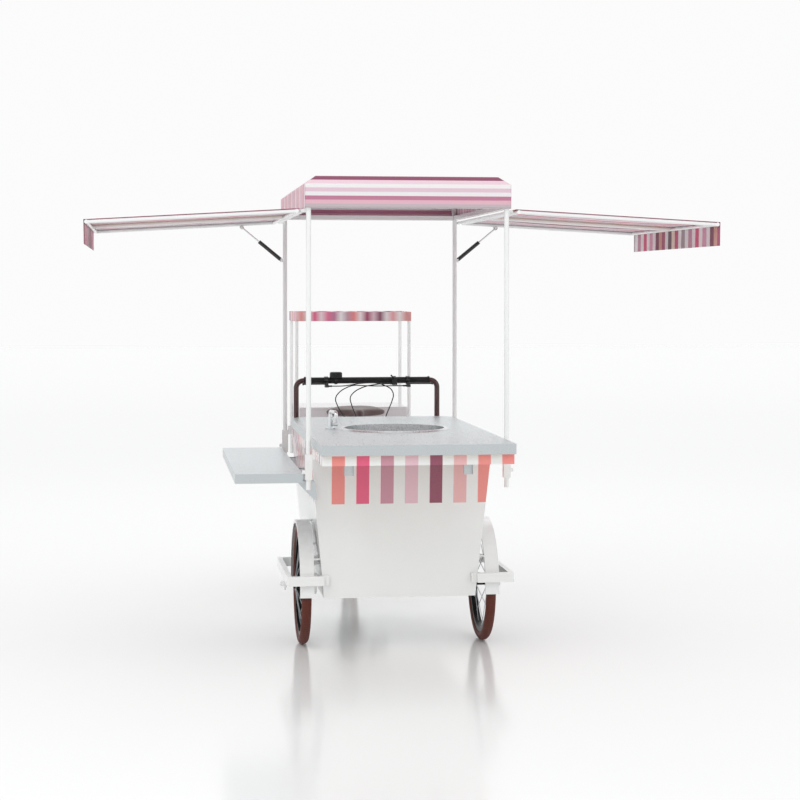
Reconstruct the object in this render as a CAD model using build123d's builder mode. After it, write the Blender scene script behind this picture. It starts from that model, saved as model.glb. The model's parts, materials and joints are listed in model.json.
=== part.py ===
from build123d import *
import os
from math import cos, pi, radians, sin, tan

os.makedirs("parts", exist_ok=True)

# Pedal vending tricycle. The load bed leads towards -Y and the rider sits behind it, facing -Y.
# X = 0 is the centre plane, Z = 0 the ground, and the origin is the middle of the footprint.

# Overall sizes (mm)
length = 2810
y_front = -length / 2
y_rear = length / 2
worktop_height = 904
canopy_base = 1824
canopy_height = 1953
flap_reach = 1280

# Clearances
seat_gap = 0.3
pin_fit = 0.05

# Worktop, its core and the tube frame under it
worktop_half = 378
worktop_length = 1615
worktop_thick = 40
skin = 3
corner_radius = 80
rail_width = 25
rail_height = 40
worktop_under = worktop_height - worktop_thick
rail_under = worktop_under - rail_height
worktop_rear = y_front + worktop_length

# Posts and their sockets
post_x = 400
post_radius = 10
post_front_y = y_front + 330
post_rear_y = post_front_y + 1310
post_foot = 703
socket_width = 28
socket_low = 742
socket_high = 844

# Box: the walls lean inwards towards the bottom
box_bottom = 228
box_low_half = 315
box_high_half = 373
box_front_low = y_front + 580
box_front_high = y_front + 526
box_rear = worktop_rear - 35
box_wall = 3
access_half = 200
access_low = 480
access_high = 740
box_slope = (box_high_half - box_low_half) / (rail_under - box_bottom)
front_slope = (box_front_low - box_front_high) / (rail_under - box_bottom)

# Wheels
wheel_radius = 254
tyre_radius = 21
rim_seat = 218
rim_inner = 200
rim_width = 28
hub_radius = 22
axle_radius = 6
spoke_radius = 1.5
spoke_count = 18
front_axle_y = y_front + 830
front_wheel_x = 385
guard_gap = 12
sheet = 3
fender_half = 29
fender_outer = wheel_radius + guard_gap + sheet
rear_axle_y = y_rear - fender_outer
rear_hub_half = 58
dropout_x = 70

# Front wheel guards
guard_low = 287
guard_high = 326
guard_tube = 20
guard_outer = 470
guard_reach = 285

# Basin and tap
basin_x = 10
basin_y = y_front + 840
bowl_radius = 215
basin_rim = 232
basin_depth = 150
drain_radius = 20
tap_x = -262
tap_y = y_front + 865
tap_height = 83

# Water tanks
tank_x = 150
tank_width = 240
tank_length = 360
tank_height = 270
neck_radius = 30
neck_height = 24

# Side shelf and its hinge line
shelf_top = 765
shelf_depth = 38
shelf_inner = 420
shelf_outer = 690
shelf_front = post_front_y + 30
shelf_rear = post_rear_y - 20
shelf_pin = 3
shelf_barrel = 6
shelf_axis_x = shelf_inner + shelf_barrel
shelf_axis_z = shelf_top - shelf_depth - shelf_barrel
knuckle_half = 30
knuckle_lug = 6

# Canopy and flaps
canopy_half = 416
canopy_front = post_front_y - 20
canopy_rear = post_rear_y + 56
canopy_eave = 1919
canopy_hip = 46
canopy_sheet = 3
frame_tube = 20
hinge_x = 424
hinge_z = canopy_base - 12
hinge_pin = 4
flap_tube = 8
flap_droop = 3.2
flap_cloth = 2
valance_drop = 95
hinge_lug = 12
hinge_inset = 33

# Gas struts
strut_low_x = 414
strut_low_z = 1634
strut_reach = 176
strut_y = post_rear_y + 23
strut_pin = 3
strut_drop = 16
cylinder_length = 137
cylinder_radius = 9
rod_radius = 4
eye_half = 6

# Handlebar and controls
bar_y = post_rear_y + 141
bar_height = 1066
bar_half = 337
bar_radius = 12.5
bar_bend = 35
grip_half = 300
grip_radius = 15
perch_x = 195
lever_length = 110

# Kingpin and rear frame
king_y = box_rear + 60
king_radius = 15
king_low = 308
king_high = 432
lug_thick = 12
sleeve_radius = 23
crank_y = king_y + 390
crank_z = 285
crank_length = 165
chain_x = 52
chain_half = 4
ring_radius = 85
cog_radius = 38
seat_top_y = crank_y + 225
seat_top_z = 820
saddle_top = 915
saddle_half = 149

# Rear box, rack and sign
rack_low = 531
rack_high = 547
rear_box_half = 274
rear_box_front = y_rear - 430
rear_box_rear = y_rear - 50
rear_box_high = 888
lid_thick = 12
sign_x = 287
sign_post = 9
sign_low = 1337
sign_high = 1383


def side_wall(z):
    return box_low_half + box_slope * (z - box_bottom)


def front_wall(z):
    return box_front_low - front_slope * (z - box_bottom)


def save(piece, label):
    piece.part.label = label
    export_step(piece.part, f"parts/{label}.step")


def bar(start, end, radius, mode=Mode.ADD):
    run = Vector(*end) - Vector(*start)
    with BuildSketch(Plane(origin=start, z_dir=run)) as section:
        Circle(radius)
    extrude(section.sketch, amount=run.length, mode=mode)


def block(x0, x1, y0, y1, z0, z1, mode=Mode.ADD):
    with BuildSketch(Plane.XY.offset(min(z0, z1))) as section:
        with Locations(((x0 + x1) / 2, (y0 + y1) / 2)):
            Rectangle(abs(x1 - x0), abs(y1 - y0))
    extrude(section.sketch, amount=abs(z1 - z0), mode=mode)


def slab(points, y0, y1, mode=Mode.ADD):
    # A plate cut out in the XZ plane and run from y0 to y1.
    with BuildSketch(Plane.XZ.offset(-y0)) as section:
        with BuildLine():
            Polyline(*points, close=True)
        make_face()
    extrude(section.sketch, amount=-(y1 - y0), mode=mode)


def bent_tube(points, bends, radius):
    with BuildLine() as path:
        FilletPolyline(*points, radius=bends)
    with BuildSketch(Plane(origin=path.line @ 0, z_dir=path.line % 0)) as section:
        Circle(radius)
    sweep(section.sketch, path=path.line)


def cable_bends(points):
    # Each bend is as large as its two runs allow.
    bends = []
    for before, here, after in zip(points, points[1:], points[2:]):
        first = Vector(*here) - Vector(*before)
        second = Vector(*after) - Vector(*here)
        half_turn = radians(first.get_angle(second)) / 2
        bends.append(0.45 * min(first.length, second.length) / tan(half_turn))
    return bends


def make_cable(label, points, radius):
    bends = cable_bends(points)
    with BuildPart() as cable:
        bent_tube(points, bends, radius)
    print(label, "bend radii", [round(bend, 1) for bend in bends])
    print(label, "length by volume", round(cable.part.volume / (pi * radius**2)))
    save(cable, label)


# ---------------------------------------------------------------- load bed

with BuildPart() as box_body:
    for wall in (0, box_wall):
        floor = box_bottom + wall
        with BuildSketch(Plane.XY.offset(floor)):
            with Locations((0, (front_wall(floor) + box_rear) / 2)):
                Rectangle(2 * (side_wall(floor) - wall), box_rear - front_wall(floor) - 2 * wall)
        with BuildSketch(Plane.XY.offset(rail_under)):
            with Locations((0, (front_wall(rail_under) + box_rear) / 2)):
                Rectangle(2 * (side_wall(rail_under) - wall), box_rear - front_wall(rail_under) - 2 * wall)
        loft(mode=Mode.SUBTRACT if wall else Mode.ADD)
    block(-access_half, access_half, box_rear - 2 * box_wall, box_rear + box_wall, access_low,
        access_high, Mode.SUBTRACT)
save(box_body, "box_body")

rail_outer = side_wall(rail_under)
cross_tubes = [y_front + rail_width, post_front_y - rail_width / 2, front_wall(rail_under),
    box_rear - rail_width]
with BuildPart() as subframe:
    for side in (-1, 1):
        block(side * (rail_outer - rail_width), side * rail_outer, cross_tubes[0],
            post_rear_y + rail_width / 2,
              rail_under, worktop_under)
    for y in cross_tubes:
        block(-rail_outer, rail_outer, y, y + rail_width, rail_under, worktop_under)
    socket_face = post_x - socket_width / 2
    for y in (post_front_y, post_rear_y):
        block(-socket_face, socket_face, y - rail_width / 2, y + rail_width / 2, rail_under, worktop_under)
save(subframe, "subframe")

with BuildPart() as post_sockets:
    for side in (-1, 1):
        for y in (post_front_y, post_rear_y):
            block(side * post_x - socket_width / 2, side * post_x + socket_width / 2, y - socket_width / 2,
                  y + socket_width / 2, socket_low, socket_high)
            bar((side * post_x, y, socket_low - 1), (side * post_x, y, socket_high + 1),
                post_radius + 0.1, Mode.SUBTRACT)
            knob_z = (socket_low + socket_high) / 2 - 20
            bar((side * (post_x + socket_width / 2), y, knob_z),
                (side * (post_x + socket_width / 2 + 12), y, knob_z), 8)
save(post_sockets, "post_sockets")

with BuildPart() as posts_front:
    for side in (-1, 1):
        bar((side * post_x, post_front_y, post_foot), (side * post_x, post_front_y, canopy_base),
            post_radius)
save(posts_front, "posts_front")

with BuildPart() as posts_rear:
    for side in (-1, 1):
        bar((side * post_x, post_rear_y, post_foot), (side * post_x, post_rear_y, canopy_base), post_radius)
        block(side * (post_x - 4), side * (strut_low_x + 6), post_rear_y + 7, post_rear_y + 12,
              strut_low_z - 8, strut_low_z + 8)
        bar((side * strut_low_x, post_rear_y + 10, strut_low_z),
            (side * strut_low_x, strut_y + eye_half + 2, strut_low_z), strut_pin)
save(posts_rear, "posts_rear")


def worktop_plate(inset, low, high, mode=Mode.ADD):
    with BuildSketch(Plane.XY.offset(low)) as plate:
        with Locations((0, y_front + worktop_length / 2)):
            Rectangle(2 * (worktop_half - inset), worktop_length - 2 * inset)
        fillet(plate.vertices().group_by(Axis.Y)[-1], corner_radius - inset)
        fillet(plate.vertices().group_by(Axis.Y)[0], 10 - inset)
    extrude(plate.sketch, amount=high - low, mode=mode)


def worktop_holes(low, high):
    bar((basin_x, basin_y, low - 1), (basin_x, basin_y, high + 1), bowl_radius + 1, Mode.SUBTRACT)
    bar((tap_x, tap_y, low - 1), (tap_x, tap_y, high + 1), 12.3, Mode.SUBTRACT)


with BuildPart() as worktop_core:
    worktop_plate(skin, worktop_under, worktop_height - skin)
    worktop_holes(worktop_under, worktop_height)
save(worktop_core, "worktop_core")

with BuildPart() as worktop:
    worktop_plate(0, worktop_under, worktop_height)
    worktop_plate(skin, worktop_under, worktop_height - skin, Mode.SUBTRACT)
    worktop_holes(worktop_under, worktop_height)
save(worktop, "worktop")

with BuildPart() as basin:
    with BuildSketch(Plane.XZ.offset(-basin_y)):
        with BuildLine():
            Polyline(
                (basin_x + drain_radius, worktop_height - basin_depth),
                (basin_x + bowl_radius - 50, worktop_height - basin_depth),
                (basin_x + bowl_radius, worktop_height - basin_depth + 50),
                (basin_x + bowl_radius, worktop_height + seat_gap),
                (basin_x + basin_rim, worktop_height + seat_gap),
                (basin_x + basin_rim - 4, worktop_height + 6),
                (basin_x + bowl_radius - 2, worktop_height + 6),
                (basin_x + bowl_radius - 2, worktop_height - basin_depth + 51),
                (basin_x + bowl_radius - 51, worktop_height - basin_depth + 2),
                (basin_x + drain_radius, worktop_height - basin_depth + 2),
                close=True,
            )
        make_face()
    revolve(axis=Axis((basin_x, basin_y, 0), (0, 0, 1)))
save(basin, "basin")

tank_top = box_bottom + box_wall + tank_height
neck_top = tank_top + neck_height
drain_top = worktop_height - basin_depth + 2
with BuildPart() as drain_pipe:
    bent_tube([(basin_x, basin_y, drain_top), (basin_x, basin_y, neck_top + 120), (tank_x, basin_y,
        neck_top + 70),
               (tank_x, basin_y, neck_top)], 40, drain_radius - seat_gap)
    bar((basin_x, basin_y, drain_top - 6), (basin_x, basin_y, drain_top), drain_radius - seat_gap)
    bar((basin_x, basin_y, drain_top - 14), (basin_x, basin_y, drain_top - 2 - seat_gap), drain_radius + 8)
save(drain_pipe, "drain_pipe")

with BuildPart() as water_tanks:
    for side in (-1, 1):
        block(side * tank_x - tank_width / 2, side * tank_x + tank_width / 2, basin_y - tank_length / 2,
              basin_y + tank_length / 2, box_bottom + box_wall, tank_top)
    fillet(water_tanks.edges().filter_by(Axis.Z), 25)
    for side in (-1, 1):
        bar((side * tank_x, basin_y, tank_top - 2), (side * tank_x, basin_y, neck_top), neck_radius)
save(water_tanks, "water_tanks")

tap_shank_low = worktop_under - 24
make_cable("supply_hose", [(-tank_x, basin_y, neck_top), (-tank_x, basin_y, neck_top + 110),
                           (tap_x, tap_y, tap_shank_low - 110), (tap_x, tap_y, tap_shank_low)], 6)

tap_joint = worktop_height + 38
with BuildPart() as tap_base:
    bar((tap_x, tap_y, tap_shank_low), (tap_x, tap_y, worktop_height + 1), 12)
    bar((tap_x, tap_y, worktop_height + seat_gap), (tap_x, tap_y, worktop_height + 7), 22)
    bar((tap_x, tap_y, worktop_height + 6), (tap_x, tap_y, tap_joint), 10)
    bar((tap_x, tap_y, tap_joint - 20), (tap_x, tap_y, tap_joint + 1), 5 + pin_fit, Mode.SUBTRACT)
    bar((tap_x + 8, tap_y, worktop_height + 20), (tap_x + 20, tap_y, worktop_height + 20), 7)
    bar((tap_x + 19, tap_y, worktop_height + 20), (tap_x + 33, tap_y, worktop_height + 20), 3)
save(tap_base, "tap_base")

spout_reach = 85
spout_turn = radians(-79)
spout_tip = (tap_x + spout_reach * cos(spout_turn), tap_y + spout_reach * sin(spout_turn))
with BuildPart() as tap_spout:
    bent_tube([(tap_x, tap_y, tap_joint + seat_gap), (tap_x, tap_y, worktop_height + tap_height - 8),
               (*spout_tip, worktop_height + tap_height - 8), (*spout_tip,
                   worktop_height + tap_height - 34)], 12, 8)
    bar((tap_x, tap_y, tap_joint - 18), (tap_x, tap_y, tap_joint + 2), 5)
save(tap_spout, "tap_spout")

with BuildPart() as tap_lever:
    lever_x = tap_x + 20 + seat_gap
    bar((lever_x, tap_y, worktop_height + 20), (lever_x + 10, tap_y, worktop_height + 20), 8)
    block(lever_x + 2, lever_x + 8, tap_y - 5, tap_y + 5, worktop_height + 22, worktop_height + 58)
    bar((lever_x - 1, tap_y, worktop_height + 20), (lever_x + 14, tap_y, worktop_height + 20),
        3 + pin_fit, Mode.SUBTRACT)
save(tap_lever, "tap_lever")

with BuildPart() as hanger_tabs:
    tab_y = post_front_y - rail_width / 2
    for side in (-1, 1):
        block(side * 221, side * 259, tab_y - 2, tab_y, 758, worktop_under)
        block(side * 221, side * 223, tab_y - 14, tab_y - 1, 758, worktop_under)
        block(side * 257, side * 259, tab_y - 14, tab_y - 1, 758, worktop_under)
save(hanger_tabs, "hanger_tabs")

# ---------------------------------------------------------------- side shelf

knuckle_ys = [shelf_front + 110, (shelf_front + shelf_rear) / 2, shelf_rear - 110]
shelf_under = shelf_top - shelf_depth
with BuildPart() as side_shelf:
    block(-shelf_outer, -shelf_inner, shelf_front, shelf_rear, shelf_under, shelf_top)
    block(-shelf_outer + 2, -shelf_inner - 2, shelf_front + 2, shelf_rear - 2, shelf_under - 1,
        shelf_top - 2,
          Mode.SUBTRACT)
    for y in knuckle_ys:
        reach = knuckle_half - seat_gap
        block(-shelf_outer + 1, -shelf_inner - 1, y - 15, y + 15, shelf_top - 14, shelf_top - 1)
        block(-shelf_axis_x - shelf_barrel, -shelf_inner, y - reach, y + reach, shelf_axis_z,
            shelf_under + 12)
        bar((-shelf_axis_x, y - reach, shelf_axis_z), (-shelf_axis_x, y + reach, shelf_axis_z),
            shelf_barrel)
        bar((-shelf_axis_x, y - reach - 1, shelf_axis_z), (-shelf_axis_x, y + reach + 1, shelf_axis_z),
            shelf_pin + pin_fit, Mode.SUBTRACT)
save(side_shelf, "side_shelf")

with BuildPart() as shelf_brackets:
    lug_high = shelf_under - 1
    lug_low = lug_high - 10
    gusset_low = lug_high - 76
    outline = [
        (-side_wall(lug_high) - seat_gap, lug_high),
        (-shelf_axis_x - 5, lug_high),
        (-shelf_axis_x - 5, lug_low),
        (-side_wall(gusset_low) - 12, gusset_low),
        (-side_wall(gusset_low) - seat_gap, gusset_low),
    ]
    for y in knuckle_ys:
        slab(outline, y - knuckle_half - knuckle_lug, y - knuckle_half)
        slab(outline, y + knuckle_half, y + knuckle_half + knuckle_lug)
        bar((-shelf_axis_x, y - knuckle_half - 2, shelf_axis_z), (-shelf_axis_x, y + knuckle_half + 2,
            shelf_axis_z),
            shelf_pin)
save(shelf_brackets, "shelf_brackets")

# ---------------------------------------------------------------- wheels


def fender_arc(centre_x, axle_y, arc):
    # A channel section turned about the axle, from its front lower end to its rear lower end.
    inner = fender_outer - sheet
    for turn in (-arc, arc):
        with BuildSketch(Plane.XZ.offset(-axle_y)) as section:
            with Locations((centre_x, wheel_radius + inner + sheet / 2)):
                Rectangle(2 * fender_half, sheet)
            for side in (-1, 1):
                with Locations((centre_x + side * (fender_half - 1), wheel_radius + inner - 4)):
                    Rectangle(2, 12)
        revolve(section.sketch, axis=Axis((0, axle_y, wheel_radius), (1, 0, 0)), revolution_arc=turn)


with BuildPart() as front_fenders:
    for side in (-1, 1):
        fender_arc(side * front_wheel_x, front_axle_y, 94.3)
        tab_high = wheel_radius + fender_outer + 1
        block(side * (side_wall(tab_high) + seat_gap), side * (front_wheel_x - 15), front_axle_y - 15,
              front_axle_y + 15, tab_high - 4, tab_high)
        for turn in (-60, 60):
            stay_y = front_axle_y + (fender_outer - 2) * sin(radians(turn))
            stay_z = wheel_radius + (fender_outer - 2) * cos(radians(turn))
            bar((side * (side_wall(stay_z + 4) + seat_gap), stay_y, stay_z),
                (side * (front_wheel_x - fender_half + 1), stay_y, stay_z), 4)
save(front_fenders, "front_fenders")

guard_front = front_axle_y - guard_reach
guard_rear = front_axle_y + guard_reach
with BuildPart() as wheel_guards:
    for side in (-1, 1):
        outer = side * guard_outer
        block(side * (guard_outer - guard_tube), outer, guard_front - 10, guard_rear + 10, guard_low,
            guard_high)
        block(side * (box_low_half + 3), outer, guard_front - 10, guard_front + 10, guard_low, guard_high)
        block(side * (box_low_half - 19), side * (box_low_half + 21), guard_front + 9,
              front_wall(guard_high) - seat_gap, guard_low, guard_high)
        block(side * (side_wall(guard_high) + seat_gap), outer, guard_rear - 10, guard_rear + 10,
            guard_low, guard_high)
        block(side * (guard_outer - 15), side * (guard_outer - 7), front_axle_y - 25, front_axle_y + 25,
              wheel_radius - 22, guard_low + 2)
        inner_end = side_wall(wheel_radius + axle_radius) + seat_gap
        hub_face = front_wheel_x - 38
        bar((side * inner_end, front_axle_y, wheel_radius), (side * (guard_outer + 8), front_axle_y,
            wheel_radius),
            axle_radius)
        bar((side * (inner_end + 8), front_axle_y, wheel_radius), (side * (hub_face - 5), front_axle_y,
            wheel_radius), 45)
        bar((side * (hub_face - 6), front_axle_y, wheel_radius),
            (side * (hub_face - seat_gap), front_axle_y, wheel_radius), 12)
        bar((side * (front_wheel_x + 38 + seat_gap), front_axle_y, wheel_radius),
            (side * (guard_outer - 12), front_axle_y, wheel_radius), 12)
        bar((side * (guard_outer - 8), front_axle_y, wheel_radius), (side * (guard_outer + 4),
            front_axle_y, wheel_radius),
            10)
save(wheel_guards, "wheel_guards")


def make_wheel(name, centre_x, axle_y, hub_half):
    with BuildPart() as tyre:
        with BuildSketch(Plane.XZ.offset(-axle_y)):
            with Locations((centre_x, 2 * wheel_radius - tyre_radius)):
                Circle(tyre_radius)
            with Locations((centre_x, wheel_radius + rim_seat / 2)):
                Rectangle(3 * tyre_radius, rim_seat, mode=Mode.SUBTRACT)
        revolve(axis=Axis((0, axle_y, wheel_radius), (1, 0, 0)))
    save(tyre, f"tyre_{name}")
    with BuildPart() as wheel:
        with BuildSketch(Plane.XZ.offset(-axle_y)):
            with Locations((centre_x, wheel_radius + (rim_seat + rim_inner) / 2)):
                Rectangle(rim_width, rim_seat - rim_inner)
        revolve(axis=Axis((0, axle_y, wheel_radius), (1, 0, 0)))
        bar((centre_x - hub_half, axle_y, wheel_radius), (centre_x + hub_half, axle_y, wheel_radius),
            hub_radius)
        for flange in (-28, 28):
            bar((centre_x + flange - 2, axle_y, wheel_radius), (centre_x + flange + 2, axle_y,
                wheel_radius), 34)
        for number in range(spoke_count):
            turn = 2 * 180 * number / spoke_count
            across = sin(radians(turn))
            up = cos(radians(turn))
            flange = 28 if number % 2 else -28
            bar((centre_x + flange, axle_y + 28 * across, wheel_radius + 28 * up),
                (centre_x, axle_y + (rim_inner + 4) * across,
                    wheel_radius + (rim_inner + 4) * up), spoke_radius)
        if name == "rear":
            bar((-chain_x - 2, axle_y, wheel_radius), (-chain_x + 2, axle_y, wheel_radius), cog_radius)
        bar((centre_x - hub_half - 1, axle_y, wheel_radius), (centre_x + hub_half + 1, axle_y,
            wheel_radius),
            axle_radius + pin_fit, Mode.SUBTRACT)
    save(wheel, f"wheel_{name}")


make_wheel("left", -front_wheel_x, front_axle_y, 38)
make_wheel("right", front_wheel_x, front_axle_y, 38)
make_wheel("rear", 0, rear_axle_y, rear_hub_half)

# ---------------------------------------------------------------- canopy and flaps

ring_half = canopy_half - canopy_sheet - seat_gap
ring_front = canopy_front + canopy_sheet + seat_gap
ring_rear = canopy_rear - canopy_sheet - seat_gap
lug_front = canopy_front + hinge_inset
lug_rear = canopy_rear - hinge_inset + hinge_lug
with BuildPart() as canopy_frame:
    for low in (canopy_base, canopy_eave - frame_tube - canopy_sheet):
        for side in (-1, 1):
            block(side * (ring_half - frame_tube), side * ring_half, ring_front, ring_rear, low,
                low + frame_tube)
        for y in (ring_front, ring_rear - frame_tube):
            block(-ring_half, ring_half, y, y + frame_tube, low, low + frame_tube)
    block(-ring_half, ring_half, post_rear_y - 10, post_rear_y + 10, canopy_base, canopy_base + frame_tube)
    for side in (-1, 1):
        for y in (ring_front, (ring_front + ring_rear - frame_tube) / 2, ring_rear - frame_tube):
            block(side * (ring_half - frame_tube), side * ring_half, y, y + frame_tube, canopy_base + 1,
                canopy_eave - 4)
        for y in (lug_front, lug_rear - hinge_lug):
            block(side * (ring_half - 16), side * ring_half, y, y + hinge_lug, hinge_z - 6, canopy_base + 1)
            block(side * (ring_half - 16), side * (hinge_x + 6), y, y + hinge_lug, hinge_z - 6, hinge_z + 6)
        bar((side * hinge_x, lug_front + 2, hinge_z), (side * hinge_x, lug_rear - 2, hinge_z), hinge_pin)
save(canopy_frame, "canopy_frame")


def canopy_solid(inset, low, mode):
    depth = canopy_rear - canopy_front
    with Locations((0, (canopy_front + canopy_rear) / 2, low)):
        Box(2 * (canopy_half - inset), depth - 2 * inset, canopy_eave - low,
            align=(Align.CENTER, Align.CENTER, Align.MIN), mode=mode)
    levels = []
    for height, hip in ((canopy_eave, 0), (canopy_height - inset, canopy_hip)):
        with BuildSketch(Plane.XY.offset(height)) as level:
            with Locations((0, (canopy_front + canopy_rear) / 2)):
                Rectangle(2 * (canopy_half - inset - hip), depth - 2 * (inset + hip))
        levels.append(level.sketch)
    loft(levels, mode=mode)


with BuildPart() as canopy_cover:
    canopy_solid(0, canopy_base, Mode.ADD)
    canopy_solid(canopy_sheet, canopy_base - 1, Mode.SUBTRACT)
save(canopy_cover, "canopy_cover")

droop = radians(flap_droop)
flap_length = (flap_reach - hinge_x) / cos(droop)


def on_flap(side, along, above):
    # X and Z of a point on the resting flap: along it from the hinge, and above its middle plane.
    return (side * (hinge_x + along * cos(droop) + above * sin(droop)),
            hinge_z - along * sin(droop) + above * cos(droop))


def flap_bar(side, start, y0, end, y1, radius, mode=Mode.ADD):
    x0, z0 = on_flap(side, start, 0)
    x1, z1 = on_flap(side, end, 0)
    bar((x0, y0, z0), (x1, y1, z1), radius, mode)


flap_front = canopy_front + flap_tube
flap_rear = canopy_rear - flap_tube
flap_outer = flap_length - flap_tube
flap_inner = 3 * flap_tube
barrel_front = lug_front + hinge_lug + seat_gap
barrel_rear = lug_rear - hinge_lug - seat_gap


def make_flap(side, name):
    with BuildPart() as frame:
        flap_bar(side, 0, barrel_front, 0, barrel_rear, flap_tube)
        for along in (flap_inner, flap_outer):
            flap_bar(side, along, flap_front - flap_tube, along, flap_rear + flap_tube, flap_tube)
        for y in (flap_front, (flap_front + flap_rear) / 2, flap_rear):
            flap_bar(side, flap_inner, y, flap_outer, y, flap_tube)
        for y in (barrel_front + 80, barrel_front + 450, barrel_rear - 450, barrel_rear - 80):
            flap_bar(side, 6, y, flap_inner, y, 5)
        x, z = on_flap(side, strut_reach, -strut_drop)
        block(x - 6, x + 6, flap_rear - 5, flap_rear + 3, z - 6, z + strut_drop)
        bar((x, flap_rear - 2, z), (x, strut_y - eye_half - 2, z), strut_pin)
        flap_bar(side, 0, barrel_front - 1, 0, barrel_rear + 1, hinge_pin + pin_fit, Mode.SUBTRACT)
    save(frame, f"flap_frame_{name}")
    low = flap_tube + seat_gap
    high = low + flap_cloth
    inner = on_flap(side, flap_length + seat_gap, low)
    outer = on_flap(side, flap_length + seat_gap + flap_cloth, high)
    hem = inner[1] - valance_drop
    with BuildPart() as fabric:
        slab([on_flap(side, 12, low), on_flap(side, 12, high), outer, (outer[0], hem),
              (outer[0] - side * flap_cloth, hem), (outer[0] - side * flap_cloth, inner[1])],
             canopy_front, canopy_rear)
    save(fabric, f"flap_fabric_{name}")


def make_strut(side, name):
    # The lower eye turns on the post's stud. The upper eye is slotted and rides on the flap's stud.
    top_x, top_z = on_flap(side, strut_reach, -strut_drop)
    run = Vector(top_x - side * strut_low_x, 0, top_z - strut_low_z)
    way = run.normalized()
    foot = Vector(side * strut_low_x, strut_y, strut_low_z)
    eye_out = 1.5
    with BuildPart() as cylinder:
        bar(tuple(foot + way * 7), tuple(foot + way * cylinder_length), cylinder_radius)
        bar(tuple(foot + way * 14), tuple(foot + way * (cylinder_length + 1)), rod_radius + pin_fit,
            Mode.SUBTRACT)
        bar(tuple(foot - Vector(0, eye_half, 0)), tuple(foot + Vector(0, eye_half, 0)), 8)
        bar(tuple(foot - Vector(0, eye_half + 4, 0)), tuple(foot + Vector(0, eye_half + 4, 0)),
            strut_pin + pin_fit,
            Mode.SUBTRACT)
    save(cylinder, f"strut_cylinder_{name}")
    with BuildPart() as rod:
        bar(tuple(foot + way * (cylinder_length - 18)), tuple(foot + way * (run.length - 6)), rod_radius)
        eye = Plane(origin=foot + way * (run.length + eye_out) - Vector(0, eye_half, 0), x_dir=way,
            z_dir=(0, 1, 0))
        with BuildSketch(eye):
            SlotOverall(20, 15)
        extrude(amount=2 * eye_half)
        with BuildSketch(eye):
            SlotOverall(11.5, 8)
        extrude(amount=2 * eye_half, mode=Mode.SUBTRACT)
    save(rod, f"strut_rod_{name}")


for side, name in ((-1, "left"), (1, "right")):
    make_flap(side, name)
    make_strut(side, name)

# ---------------------------------------------------------------- handlebar and controls

bar_foot_y = post_rear_y + rail_width / 2
bar_foot_z = (rail_under + worktop_under) / 2
with BuildPart() as handlebar:
    bent_tube([(-bar_half, bar_foot_y, bar_foot_z), (-bar_half, bar_y, bar_foot_z), (-bar_half, bar_y,
        bar_height),
               (bar_half, bar_y, bar_height), (bar_half, bar_y, bar_foot_z), (bar_half, bar_foot_y,
                   bar_foot_z)],
              bar_bend, bar_radius)
save(handlebar, "handlebar")

with BuildPart() as handle_grip:
    bar((-grip_half, bar_y, bar_height), (grip_half, bar_y, bar_height), grip_radius)
    for side in (-1, 1):
        bar((side * grip_half, bar_y, bar_height), (side * (grip_half - 8), bar_y, bar_height),
            grip_radius + 3)
    bar((-grip_half - 1, bar_y, bar_height), (grip_half + 1, bar_y, bar_height), bar_radius + 0.1,
        Mode.SUBTRACT)
save(handle_grip, "handle_grip")

clamp_radius = grip_radius + seat_gap
pivot_y = bar_y - 38
lever_z = bar_height - 14
with BuildPart() as lever_perches:
    for side in (-1, 1):
        bar((side * (perch_x - 9), bar_y, bar_height), (side * (perch_x + 9), bar_y, bar_height),
            clamp_radius + 4)
        block(side * (perch_x - 9), side * (perch_x + 9), pivot_y - 9, bar_y - 8, lever_z - 17,
            lever_z - 5 - seat_gap)
        block(side * (perch_x - 9), side * (perch_x + 9), bar_y - 19, bar_y - 4, lever_z - 14,
            bar_height - 8)
        bar((side * perch_x, pivot_y, lever_z - 8), (side * perch_x, pivot_y, lever_z + 7), 3)
        bar((side * (perch_x - 26), pivot_y + 14, lever_z - 12), (side * (perch_x - 8), pivot_y + 14,
            lever_z - 12), 4)
        bar((side * (perch_x - 10), bar_y, bar_height), (side * (perch_x + 10), bar_y, bar_height),
            clamp_radius,
            Mode.SUBTRACT)
save(lever_perches, "lever_perches")

for side, name in ((-1, "left"), (1, "right")):
    with BuildPart() as lever:
        bar((side * perch_x, pivot_y, lever_z - 5), (side * perch_x, pivot_y, lever_z + 5), 8)
        bar((side * (perch_x + 5), pivot_y - 1, lever_z), (side * (perch_x + lever_length),
            pivot_y - 10, lever_z), 4)
        bar((side * (perch_x + lever_length - 1), pivot_y - 10, lever_z - 0),
            (side * (perch_x + lever_length + 6), pivot_y - 10.5, lever_z), 6)
        bar((side * perch_x, pivot_y, lever_z - 9), (side * perch_x, pivot_y, lever_z + 9), 3 + pin_fit,
            Mode.SUBTRACT)
    save(lever, f"brake_lever_{name}")

bell_x = -148
with BuildPart() as bell:
    bar((bell_x - 7, bar_y, bar_height), (bell_x + 7, bar_y, bar_height), clamp_radius + 3)
    with BuildSketch(Plane.XY.offset(bar_height + 12)):
        with Locations((bell_x, bar_y)):
            RectangleRounded(58, 44, 14)
    extrude(amount=28)
    fillet(bell.edges().group_by(Axis.Z)[-1], 8)
    bar((bell_x - 30, bar_y, bar_height), (bell_x + 30, bar_y, bar_height), clamp_radius, Mode.SUBTRACT)
    bar((bell_x, bar_y - 20, bar_height + 24), (bell_x, bar_y - 34, bar_height + 24), 2.5)
save(bell, "bell")

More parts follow.
